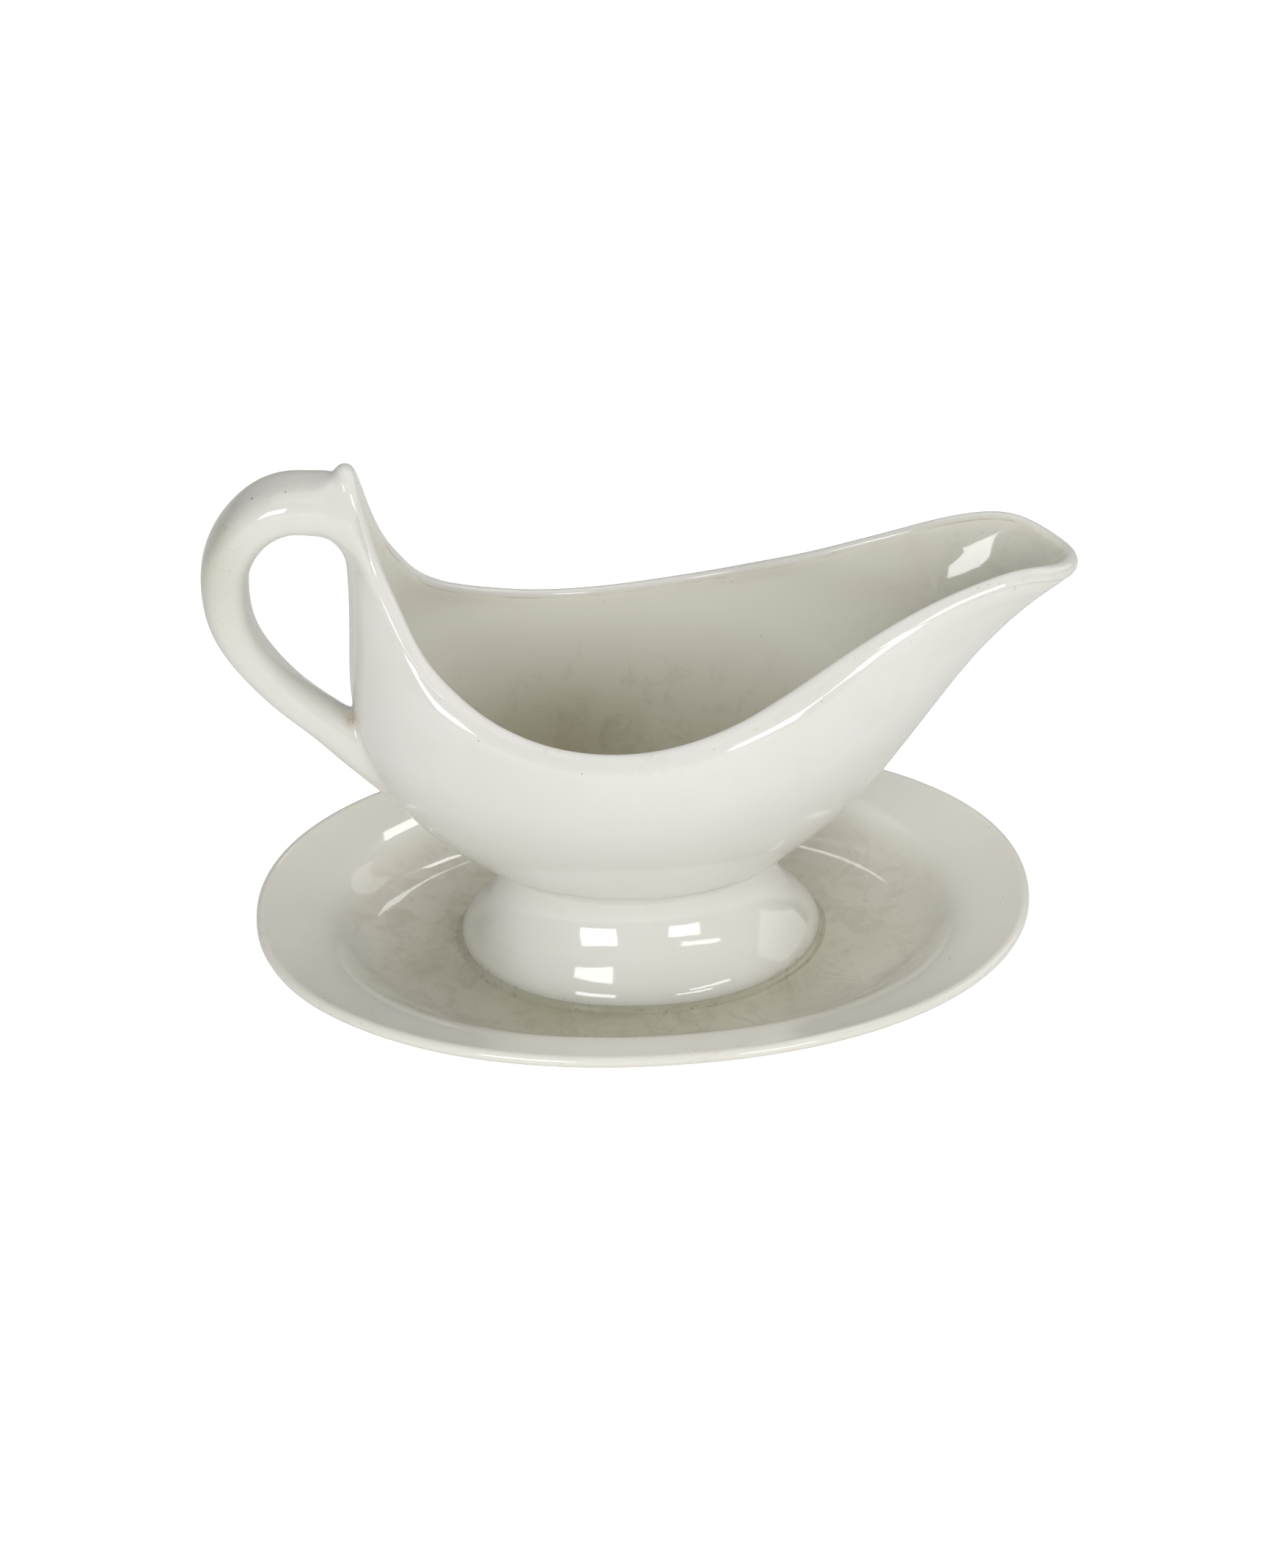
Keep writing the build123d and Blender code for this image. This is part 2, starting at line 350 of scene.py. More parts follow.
def rolled(angle):
    """0 on the tongue, where the handle joins, and at the tip of the lip; 1 elsewhere."""
    angle = fold(angle)
    return smooth(0.50, 0.85, PI - angle) * (1 - bell(angle / 0.42))


def rim_tangent(angle, step=1e-3):
    top = np.ones_like(angle)
    return unit(wall_mid(angle + step, top) - wall_mid(angle - step, top))


def outer_point(angle, level):
    point, upward, normal = wall_frame(angle, level)
    along = rim_tangent(angle)
    square = upward - dot(upward, along)[..., None] * along
    depth = (1 - level) * np.linalg.norm(square, axis=-1)
    roll = np.maximum(ROLL_DEPTH - depth, 0) ** 2 / (2 * ROLL_RADIUS) * rolled(angle)
    return point + normal * (half_wall(angle, level) - roll)[..., None]


def inner_point(angle, level):
    point, _, normal = wall_frame(angle, level)
    return point - normal * half_wall(angle, level)[..., None]


# -------------------------------------------------------------------- bowl: mesh
# The three parts below give rings as (points, distance to rim, inside, edge line).
WALL_RINGS, RIM_RINGS = 104, 20


def neck_ring(grow=0.0):
    return oval(NECK_X, NECK_HALF_LENGTH + grow, NECK_HALF_WIDTH + grow, NECK_Z)


def wall_rings(surface, start, shares, inside):
    """Rings between the start level (share 0) and the rim (share 1), closer at the rim."""
    for share in shares:
        level = start + (1 - start) * (share + 0.12 * math.sin(PI * share))
        points = surface(ANGLES, np.minimum(level, 1.0))
        yield points, wall_height(ANGLES) * (1 - level), inside, 0.0


def bowl_outside():
    """Fillet from the upright neck into the flare, then the wall up to the rim."""
    start, neck = level_at(FLARE_Z), neck_ring()
    flare = outer_point(ANGLES, start)
    below = flare - unit(outer_point(ANGLES, start + 0.004) - flare) * 4.6
    above = neck + np.array([0, 0, 2.6])
    for t in np.linspace(0, 1, 19)[1:]:
        yield cubic(neck, above, below, flare, t), FAR, 0.0, 0.0
    shares = [i / WALL_RINGS for i in range(1, WALL_RINGS + 1)]
    yield from wall_rings(outer_point, start, shares, 0.0)


def bowl_rim():
    """Rounded rim, square to the rim line."""
    top = np.ones(SEGMENTS)
    point, upward, normal = wall_frame(ANGLES, top)
    crest_up = np.cross(normal, rim_tangent(ANGLES))
    crest_up = unit(crest_up * np.sign(dot(crest_up, upward))[:, None])
    radius = half_wall(ANGLES, top)[:, None]
    # round on the tongue; elsewhere the rolled shoulder runs over a tighter crest
    share = rolled(ANGLES)[:, None]
    shoulder = point + normal * (radius - ROLL_DEPTH**2 / (2 * ROLL_RADIUS) * share)
    lean = unit(crest_up - normal * (ROLL_DEPTH / ROLL_RADIUS))
    inner = point - normal * radius
    for i in range(1, RIM_RINGS + 1):
        turn = i / RIM_RINGS
        circle = point + radius * (normal * math.cos(PI * turn)
                                   + crest_up * math.sin(PI * turn))
        crest = cubic(shoulder, shoulder + lean * 2.75, inner + crest_up * 2.95, inner,
                      0.5 - 0.5 * math.cos(PI * turn))
        points = circle * (1 - share) + crest * share
        yield points, 0.0, smooth(0.55, 0.95, turn), bell((turn - 0.88) / 0.05)


def bowl_inside(centre):
    """Inner wall down to BOTTOM_Z, then the rounded bottom and its flat middle."""
    start = level_at(BOTTOM_Z)
    shares = [1 - i / WALL_RINGS for i in range(1, WALL_RINGS + 1)]
    yield from wall_rings(inner_point, start, shares, 1.0)
    edge = inner_point(ANGLES, start)
    down = unit(edge - inner_point(ANGLES, start + 0.004))
    flat = centre + (edge - centre) * [0.52, 0.52, 0.0]
    reach = np.linalg.norm(edge - flat, axis=-1)[:, None] * 0.42
    below = edge + down * reach
    beside = flat + (edge - flat) * [0.35, 0.35, 0.0]
    for t in np.linspace(0, 1, 25)[1:]:
        yield cubic(edge, below, beside, flat, t), FAR, 1.0, 0.0
    for t in np.linspace(0, 1, 13)[1:-1]:
        yield centre + (flat - centre) * (1 - t), FAR, 1.0, 0.0


def build_bowl():
    under = np.array([NECK_X, 0.0, NECK_Z])
    bottom = np.array([-1.3, 0.0, NECK_Z + BOTTOM_THICKNESS])
    rows = [([under], FAR, 0.0, 0.0), (neck_ring(-4.0), FAR, 0.0, 0.0),
            (neck_ring(), FAR, 0.0, 0.0), *bowl_outside(), *bowl_rim(),
            *bowl_inside(bottom), ([bottom], FAR, 1.0, 0.0)]
    starts = [1 + k * SEGMENTS for k in range(len(rows) - 2)]
    first, neck, last = starts[0], starts[1], starts[-1]
    faces = [(0, first + j, first + i) for i, j in NEIGHBOURS]
    for start, following in zip(starts, starts[1:]):
        faces += quads(start, following)
    faces += [(last + i, last + j, last + SEGMENTS) for i, j in NEIGHBOURS]
    verts = np.concatenate([row[0] for row in rows])
    rim, inside, line = (
        np.concatenate([np.broadcast_to(row[k], len(row[0])) for row in rows])
        for k in (1, 2, 3))
    # darker towards the bottom inside, less so towards the lip end, and along the lip's channel
    x, y, z = verts.T
    pool = smooth(76, 40, z) * (1 - 0.36 * smooth(-22, 18, x))
    pool = np.maximum(pool, 0.42 * smooth(35, 75, x) * bell(y / 22.0))
    return make_piece("bowl_glazed", verts, faces, range(neck, neck + SEGMENTS),
                      rim=rim, inside=inside, line=line, pool=pool * inside)


# ------------------------------------------------------------ handle: the strap
# Cross-sections along the strap: centre x and z, thickness, width, exponent of
# the superellipse. From inside the tongue, round the grip, down into the bowl.
STATIONS = np.array([
    (-58.0, 136.1, 14.8, 17.6, 2.3), (-64.0, 136.1, 14.8, 17.6, 2.3),
    (-70.7, 136.1, 14.8, 17.6, 2.3), (-72.4, 136.0, 14.5, 17.7, 2.4),
    (-74.8, 135.8, 14.0, 17.9, 2.6), (-78.2, 135.6, 13.7, 18.0, 2.6),
    (-84.2, 135.9, 13.1, 18.0, 2.7), (-89.7, 134.35, 12.6, 17.8, 2.8),
    (-94.5, 130.8, 12.1, 17.4, 2.8), (-98.8, 125.1, 12.0, 16.8, 2.7),
    (-101.2, 119.0, 11.9, 16.2, 2.6), (-101.9, 112.6, 11.8, 15.4, 2.6),
    (-101.4, 104.4, 11.3, 14.4, 2.6), (-98.9, 96.4, 10.4, 13.4, 2.6),
    (-94.6, 88.9, 9.8, 12.7, 2.6), (-88.5, 80.9, 9.5, 12.4, 2.6),
    (-80.8, 73.2, 9.9, 12.6, 2.5), (-74.2, 66.7, 11.2, 13.2, 2.4),
    (-67.8, 59.7, 11.2, 14.2, 2.3), (-62.0, 53.2, 10.2, 13.6, 2.2),
    (-56.0, 47.2, 7.6, 11.4, 2.2)])
station_arc = np.concatenate(
    [[0], np.cumsum(np.hypot(np.diff(STATIONS[:, 0]), np.diff(STATIONS[:, 1])))])
STRAP_X, STRAP_Z, STRAP_THICKNESS, STRAP_WIDTH, STRAP_EXPONENT = (
    Spline(station_arc, column) for column in STATIONS.T)
ARC_END = station_arc[-1]
ARC_SAMPLES = np.linspace(0, ARC_END, 900)
ARC_STEP = 0.01

# height, half width of the tongue
TONGUE_HALF_WIDTH = Spline(*zip(*[
    (96, 15.4), (104, 13.2), (112, 11.4), (118, 9.9), (121, 9.0), (125, 7.9), (129, 6.9),
    (133, 5.8), (137, 4.7), (140, 3.7), (143, 2.4), (146, 1.2), (150, 0.8)]))


def strap_centre(arc):
    return np.stack([STRAP_X(arc), STRAP_Z(arc)], -1)


def nearest_sample(points, samples, values, chunk):
    """For each point, the value that belongs to the nearest sample."""
    found = np.empty(len(points))
    for i in range(0, len(points), chunk):
        gap = ((points[i:i + chunk, None, :] - samples[None]) ** 2).sum(-1)
        found[i:i + chunk] = values[gap.argmin(1)]
    return found


def nearest_arc(places, arc=None, steps=3):
    """Arc position on the strap's centre line nearest to each (x, z)."""
    if arc is None:
        arc = nearest_sample(places, strap_centre(ARC_SAMPLES), ARC_SAMPLES, 4000)
    for _ in range(steps):
        ahead, behind = strap_centre(arc + ARC_STEP), strap_centre(arc - ARC_STEP)
        tangent = (ahead - behind) / (2 * ARC_STEP)
        move = dot(places - strap_centre(arc), tangent) / dot(tangent, tangent)
        arc = np.clip(arc + np.clip(move, -1, 1), 0, ARC_END)
    return arc


def strap_distance(points, arc):
    """Signed distance to the strap, without the bowl."""
    x, y, z = points.T
    run_x = STRAP_X(arc + ARC_STEP) - STRAP_X(arc - ARC_STEP)
    run_z = STRAP_Z(arc + ARC_STEP) - STRAP_Z(arc - ARC_STEP)
    run = np.hypot(run_x, run_z)
    off_x, off_z = x - STRAP_X(arc), z - STRAP_Z(arc)
    across = off_x * (-run_z / run) + off_z * (run_x / run)
    along = off_x * run_x / run + off_z * run_z / run
    half_width, half_thick = STRAP_WIDTH(arc) / 2, STRAP_THICKNESS(arc) / 2
    exponent = STRAP_EXPONENT(arc)
    # near the bowl the strap narrows to the width of the tongue it meets
    limit = (TONGUE_HALF_WIDTH(np.clip(z, 96, 150)) + np.maximum(0, -70.0 - x) * 0.85
             + 60 * smooth(112, 98, z))
    limit = np.maximum(limit, 1.0)
    soft = 2.5
    excess = half_width - limit
    half_width = (half_width - (np.maximum(soft - np.abs(excess), 0) ** 2) / (4 * soft)
                  - np.maximum(excess, 0))
    # superellipse radius over the length of its gradient
    wide = np.maximum(np.abs(y) / half_width, 1e-6)
    thick = np.maximum(np.abs(across) / half_thick, 1e-6)
    radius = (wide**exponent + thick**exponent) ** (1 / exponent)
    slope_wide = radius ** (1 - exponent) * wide ** (exponent - 1) / half_width
    slope_thick = radius ** (1 - exponent) * thick ** (exponent - 1) / half_thick
    distance = (radius - 1) / np.maximum(np.hypot(slope_wide, slope_thick), 1e-6)
    core = -np.minimum(half_width, half_thick) * (1 - radius)
    return np.maximum(np.where(radius < 0.35, core, distance), np.abs(along) - 0.2)


# ---------------------------------------------------- handle: joint with the bowl
def mirrored(points):
    """Points brought to the y >= 0 half."""
    return np.column_stack([points[:, 0], np.abs(points[:, 1]), points[:, 2]])


def damping(better, damp):
    return np.where(better, np.minimum(1, damp * 1.5), damp * 0.4)


class WallDistance:
    """Distance to the bowl's wall near the handle, from its nearest mid-surface point.

    A start is one row per point: angle and level on the wall, angle on the rim.
    """

    STEP = 1e-4

    def __init__(self):
        angles, levels = np.meshgrid(np.linspace(PI * 0.60, PI, 110), np.linspace(0.06, 1, 150))
        self.wall_starts = np.stack([angles.ravel(), levels.ravel()], -1)
        points = wall_mid(*self.wall_starts.T)
        self.tree = KDTree(len(points))
        for i, point in enumerate(points):
            self.tree.insert(point, i)
        self.tree.balance()
        self.rim_angles = np.linspace(PI * 0.60, PI, 420)
        self.rim_points = wall_mid(self.rim_angles, np.ones_like(self.rim_angles))

    def starts(self, points):
        points = mirrored(points)
        nearest = [self.tree.find(point)[1] for point in points]
        rim = nearest_sample(points, self.rim_points, self.rim_angles, 8000)
        return np.concatenate([self.wall_starts[nearest], rim[:, None]], 1)

    def refine_wall(self, points, angle, level, steps):
        """Damped Gauss-Newton steps to the nearest point of the wall."""
        near = wall_mid(angle, level)
        best = ((points - near) ** 2).sum(-1)
        damp = np.ones(len(points))
        for _ in range(steps):
            step = np.where(level > 1 - self.STEP, -self.STEP, self.STEP)
            around = (wall_mid(angle + self.STEP, level) - near) / self.STEP
            upward = (wall_mid(angle, level + step) - near) / step[:, None]
            rest = points - near
            aa, au, uu = dot(around, around), dot(around, upward), dot(upward, upward)
            ra, ru = dot(rest, around), dot(rest, upward)
            det = np.maximum(aa * uu - au * au, 1e-9)
            turn = np.clip((ra * uu - ru * au) / det, -0.1, 0.1)
            climb = np.clip((aa * ru - au * ra) / det, -0.05, 0.05)
            new_angle = np.clip(angle + damp * turn, PI * 0.5, PI)
            new_level = np.clip(level + damp * climb, 0.02, 1)
            new_near = wall_mid(new_angle, new_level)
            gap = ((points - new_near) ** 2).sum(-1)
            better = gap < best
            angle, level = np.where(better, new_angle, angle), np.where(better, new_level, level)
            best = np.where(better, gap, best)
            near = np.where(better[:, None], new_near, near)
            damp = damping(better, damp)
        return angle, level, best

    def refine_rim(self, points, angle, steps):
        """The same along the rim line."""
        top = np.ones_like(angle)
        near = wall_mid(angle, top)
        best = ((points - near) ** 2).sum(-1)
        damp = np.ones(len(points))
        for _ in range(steps):
            along = (wall_mid(angle + self.STEP, top) - near) / self.STEP
            turn = np.clip(dot(points - near, along) / dot(along, along), -0.05, 0.05)
            new_angle = np.clip(angle + damp * turn, PI * 0.5, PI)
            new_near = wall_mid(new_angle, top)
            gap = ((points - new_near) ** 2).sum(-1)
            better = gap < best
            angle, best = np.where(better, new_angle, angle), np.where(better, gap, best)
            near = np.where(better[:, None], new_near, near)
            damp = damping(better, damp)
        return angle, best

    def __call__(self, points, start=None):
        """Distance, offset along the outward normal, its share of the gap, refined start."""
        steps = 7 if start is None else 3
        start = self.starts(points) if start is None else start
        points = mirrored(points)
        angle, level, wall_gap = self.refine_wall(points, start[:, 0], start[:, 1], steps)
        rim_angle, rim_gap = self.refine_rim(points, start[:, 2], steps)
        at_rim = rim_gap <= wall_gap
        near_angle = np.where(at_rim, rim_angle, angle)
        near_level = np.where(at_rim, 1.0, level)
        near, _, normal = wall_frame(near_angle, near_level)
        offset = dot(points - near, normal)
        gap = np.sqrt(np.minimum(rim_gap, wall_gap))
        return (gap - half_wall(near_angle, near_level), offset,
                offset / np.maximum(gap, 1e-6), np.stack([angle, level, rim_angle], -1))


def blend_radius(points, facing):
    """How softly the handle runs into the bowl; only the wall's outward face is filleted."""
    x, _, z = points.T
    upper = 12.0 - 4.5 * smooth(124.0, 134.0, z) - 5.5 * smooth(134.0, 141.5, z)
    low = smooth(102, 86, z)
    radius = upper * (1 - low) + 2.6 * low
    low_end = smooth(66, 54, z)
    crotch = bell((z - 79.0) / 5.0) * smooth(-68, -72, x)
    radius = radius * (1 - low_end) + 3.6 * low_end + 2.2 * crotch
    return 0.6 + (radius - 0.6) * smooth(0.0, 0.8, facing)


SKIN_OFFSET = 0.015      # the field is raised by this, so the handle lies just inside it
HANDLE_DEPTH = 1.1       # how far the handle's mesh reaches into the wall


def handle_field(points, wall, start, arc):
    """Strap blended with the wall; also the wall's distance and the refined start."""
    strap = strap_distance(points, arc)
    wall_distance, offset, facing, start = wall(points, start)
    # the strap stops at the middle of the wall, with its edge there rounded off
    cut, rounding = -offset - 0.2, 1.5
    overlap = np.maximum(rounding - np.abs(strap - cut), 0)
    strap = np.maximum(strap, cut) + overlap * overlap / (4 * rounding)
    radius = blend_radius(points, facing)
    overlap = np.maximum(radius - np.abs(strap - wall_distance), 0)
    field = np.minimum(strap, wall_distance) - overlap * overlap / (4 * radius)
    field = field + SKIN_OFFSET + 0.30 * np.maximum(strap - 0.95 * radius, 0)
    return field, wall_distance, start


# ----------------------------------------------------------------- handle: mesh
CELL = 0.55              # grid step
FIELD_LIMIT = 3.0
JOINT_X = -93.0          # left of this the bowl has no influence


def contour_handle(wall):
    """Points and quads of the field's zero surface on a regular grid."""
    x = np.arange(-112.0, -50.0, CELL)
    y = np.arange(0.0, 15.0, CELL)
    z = np.arange(36.0, 152.0, CELL)
    grid_points = np.meshgrid(x, y, z, indexing="ij")
    shape = grid_points[0].shape
    points = np.stack([axis.ravel() for axis in grid_points], -1)
    side_view = np.stack(np.meshgrid(x, z, indexing="ij"), -1).reshape(-1, 2)
    arc = nearest_arc(side_view).reshape(len(x), 1, len(z))
    arc = np.broadcast_to(arc, shape).ravel()
    field = strap_distance(points, arc)
    near = (field < 12.5) & (points[:, 0] > JOINT_X)
    blended, wall_distance, _ = handle_field(points[near], wall, None, arc[near])
    field[near] = np.maximum(blended, -(wall_distance + HANDLE_DEPTH))
    field[~near] += SKIN_OFFSET
    half = field.reshape(shape)
    full = np.concatenate([half[:, :0:-1], half], 1)
    grid = openvdb.FloatGrid(FIELD_LIMIT)
    grid.copyFromArray(np.clip(full, -FIELD_LIMIT, FIELD_LIMIT).astype(np.float32))
    points, faces = grid.convertToQuads(0.0)
    points = np.asarray(points, float) * CELL + [x[0], -(len(y) - 1) * CELL, z[0]]
    return points, np.asarray(faces, int)


def largest_piece(points, faces):
    label = np.arange(len(points))
    for _ in range(400):
        lowest = label[faces].min(1)
        new = label.copy()
        for corner in range(4):
            np.minimum.at(new, faces[:, corner], lowest)
        new = new[new]
        if (new == label).all():
            break
        label = new
    labels, counts = np.unique(label, return_counts=True)
    keep = label == labels[counts.argmax()]
    new_index = np.cumsum(keep) - 1
    return points[keep], new_index[faces[keep[faces[:, 0]]]]


def settle(points, wall):
    """Moves the vertices onto the exact surface, but not those inside the wall."""
    starts = wall.starts(points)
    arc = nearest_arc(points[:, [0, 2]])
    close = points[:, 0] > JOINT_X
    probe = 0.02

    def sample(places):
        new_arc = nearest_arc(places[:, [0, 2]], arc, 1)
        field = strap_distance(places, new_arc) + SKIN_OFFSET
        field[close], wall_distance, new_starts = handle_field(
            places[close], wall, starts[close], new_arc[close])
        return field, wall_distance, new_starts, new_arc

    for _ in range(3):
        field, near_wall, starts[close], arc = sample(points)
        gradient = np.stack(
            [(sample(points + axis * probe)[0] - sample(points - axis * probe)[0])
             / (2 * probe) for axis in np.eye(3)], -1)
        wall_distance = np.full(len(points), 9.0)
        wall_distance[close] = near_wall
        skin = wall_distance > -HANDLE_DEPTH + 0.35
        move = -field[:, None] * gradient / np.maximum((gradient**2).sum(-1), 0.05)[:, None]
        length = np.linalg.norm(move, axis=-1, keepdims=True)
        move *= np.minimum(1, 0.45 / np.maximum(length, 1e-9))
        points = np.where(skin[:, None], points + move, points)
    return points


def build_handle():
    wall = WallDistance()
    points, faces = largest_piece(*contour_handle(wall))
    points = settle(points, wall)
    # openvdb may wind its quads the other way round to Blender
    first, second, third = (points[faces[:, k]] for k in range(3))
    if (np.cross(second - first, third - first) * (first - points.mean(0))).sum() < 0:
        faces = faces[:, ::-1]
    # greyer on the outer (-x) face of the grip
    worn = blob(points, (-105.0, -3.0, 126.0), (8.0, 13.0, 19.0))
    return make_piece("handle_glazed", points, faces, pool=0.85 * worn)


# --------------------------------------------------------------------------- foot
# height, half length, half width
FOOT_OUTSIDE = [
    (0.0, 46.6, 33.7), (0.7, 47.0, 34.1), (1.5, 47.3, 34.35), (2.6, 47.35, 34.4),
    (3.8, 47.05, 34.1), (5.0, 46.4, 33.4), (6.4, 45.35, 32.35), (8.0, 43.95, 30.9),
    (10.0, 42.2, 29.05), (12.5, 40.3, 27.0), (15.0, 38.8, 25.35), (17.5, 37.55, 24.0),
    (20.0, 36.6, 23.0), (22.5, 35.98, 22.32), (NECK_Z, NECK_HALF_LENGTH, NECK_HALF_WIDTH)]
FOOT_INSIDE = [(NECK_Z, 31.2, 17.6), (20.0, 32.0, 18.6), (16.0, 33.4, 20.0),
               (10.0, 37.0, 23.9), (5.0, 40.2, 27.2), (0.0, 42.4, 29.4)]


def build_foot():
    """A hollow oval foot, up the outside and down the inside."""
    half_length, half_width = splines(FOOT_OUTSIDE)
    centre_x = Spline([0, 10, NECK_Z], [FOOT_X, FOOT_X - 0.2, NECK_X])
    heights = np.concatenate([np.linspace(0, 4, 22), np.linspace(4, NECK_Z, 60)[1:]])
    rings = [oval(centre_x(z), half_length(z), half_width(z), z) for z in heights]
    rings += [oval(FOOT_X - 0.3, length, width, z) for z, length, width in FOOT_INSIDE]
    outside = len(heights)
    verts, faces, sharp = closed_tube(rings, (0, outside - 1, outside, -1))
    # Painted shade and painted reflection: the foot is greyed towards both ends and low down,
    # where the bowl overhead shades it and it mirrors the dark saucer floor.
    pool = (smooth(0.55, 0.98, np.abs(verts[:, 0] - FOOT_X) / 47.0)
            * smooth(17, 5, verts[:, 2]) * 0.75)
    return make_piece("foot_glazed", verts, faces, sharp, pool=pool)


def build_seam():
    """Uneven bead of slip that fills the corner between the foot and the saucer."""
    rise = 1.5 + 0.22 * np.sin(3 * ANGLES + 0.8) + 0.12 * np.sin(7 * ANGLES)
    run = (2.0 + 0.30 * np.sin(2 * ANGLES + 1.9) + 0.2 * np.sin(5 * ANGLES + 0.4)
           + 0.1 * np.sin(11 * ANGLES))
    inset, sunk, steps = -1.6, -0.35, 16

    def ring(outward, z):
        return oval(FOOT_X, 46.9 + outward, 34.0 + outward, z)

    top, corner, toe = ring(0.42, rise), ring(0.45, 0.06), ring(run, 0.012)
    rings = [quadratic(top, corner, toe, k / steps) for k in range(steps + 1)]
    rings += [ring(run - 0.25, sunk), ring(inset, sunk), ring(inset, 0.7 * rise)]
    verts, faces, sharp = closed_tube(rings, (0, -3, -2, -1), reverse=True)
    return make_piece("foot_seam_glaze", verts, faces, sharp,
                      crease=smooth(0.1, 1.3, verts[:, 2]), pool=1.0)


# ------------------------------------------------------------------------- saucer
SAUCER_EXPONENT = 2.12   # superellipse outline; the middle is a true ellipse
# half length, half width, height: over the top from the middle, then back underneath
SAUCER_PROFILE = np.array([
    (2.5, 2.5, 0.0), (8, 6, 0.0), (20, 12, 0.0), (36, 23, 0.0), (44.5, 31.5, 0.0),
    (50, 36.5, 0.0), (56, 39.5, 0.0), (62, 41.6, 0.02), (67, 43.2, 0.10),
    (70.6, 44.7, 0.36), (73.6, 46.2, 0.95), (76.1, 47.7, 1.95), (78.3, 49.1, 3.25),
    (80.3, 50.5, 4.75), (82.3, 52.0, 6.25), (84.6, 53.8, 7.55), (87.6, 56.2, 8.75),
    (91.2, 59.1, 9.85), (94.8, 62.2, 10.85), (97.8, 64.8, 11.72), (99.6, 66.3, 12.28),
    (100.4, 67.1, 12.50), (101.1, 67.8, 12.44), (101.65, 68.35, 12.10),
    (101.97, 68.67, 11.50), (102.0, 68.7, 10.75), (101.7, 68.4, 10.0),
    (101.0, 67.6, 9.3), (99.8, 66.4, 8.5),
    # underside, with the standing ring
    (97.6, 64.3, 7.5), (94.6, 61.5, 6.3), (91.0, 58.3, 4.9), (87.0, 55.0, 3.1),
    (83.2, 52.0, 1.0), (80.0, 49.2, -1.0), (76.8, 46.6, -2.7), (73.2, 43.6, -3.9),
    (69.6, 40.8, -4.4), (67.2, 38.9, -4.7), (66.0, 38.0, -5.4), (65.6, 37.6, -6.6),
    (65.2, 37.2, -7.7), (64.8, 36.8, -8.3), (64.2, 36.2, TABLE_Z), (62.4, 34.4, TABLE_Z),
    (61.9, 33.9, -8.3), (61.4, 33.4, -7.6), (61.0, 33.0, -6.2), (60.5, 32.5, -5.1),
    (59.4, 31.6, -4.6), (56.0, 29.4, -4.5), (40, 21, -4.5), (22, 12, -4.5),
    (8, 6, -4.5), (2.5, 2.5, -4.5)], float)


def saucer_rows():
    """The profile resampled along its length: finely outside 55 mm, coarsely within."""
    profile = SAUCER_PROFILE
    steps = np.sqrt((np.diff(profile, axis=0) ** 2).sum(1))
    length = np.concatenate([[0], np.cumsum(steps)])
    curves = [Spline(length, column) for column in profile.T]
    rows = []
    for i in range(len(length) - 1):
        step = length[i + 1] - length[i]
        spacing = 0.75 if profile[i, 0] > 55 else 4
        count = max(1, int(round(step / spacing)))
        for j in range(count):
            row = [float(curve(length[i] + step * j / count)) for curve in curves]
            if profile[i, 2] == profile[i + 1, 2]:
                row[2] = profile[i, 2]
            rows.append(row)
    return rows + [profile[-1]]


def build_saucer():
    rings, rim = [], []
    for half_length, half_width, z in saucer_rows():
        exponent = 2 + (SAUCER_EXPONENT - 2) * float(smooth(20, 60, half_length))
        radius = (np.abs(COS) ** exponent + np.abs(SIN) ** exponent) ** (-1 / exponent)
        centre_x = FOOT_X * (1 - float(smooth(4, 40, half_length)))
        rings.append(oval(centre_x, half_length * radius, half_width * radius, z))
        edge = math.hypot(102.0 - half_length, 11.0 - z) if z > -3 else FAR
        rim.append(np.full(SEGMENTS, edge))
    verts, faces, sharp = closed_tube(rings, (0, -1))
    # thick glaze and dirt round the foot, most of it at the front and the left
    x, y, z = verts.T
    radius = np.hypot((x - FOOT_X) / 48.0, y / 35.5)
    bearing = np.arctan2(y, x - FOOT_X) + math.radians(118)
    side = 0.42 + 0.58 * bell((np.mod(bearing + PI, 2 * PI) - PI) / 1.15)
    ring = bell(np.maximum(radius - 1.02, 0) * 41 / 17.0)
    pool = smooth(8.0, 0.4, z) * (z > -0.2) * (0.30 + 0.70 * side * ring)
    return make_piece("saucer_glazed", verts, faces, sharp, rim=np.concatenate(rim), pool=pool)


bowl = build_bowl()
foot = build_foot()
seam = build_seam()
saucer = build_saucer()
handle = build_handle()


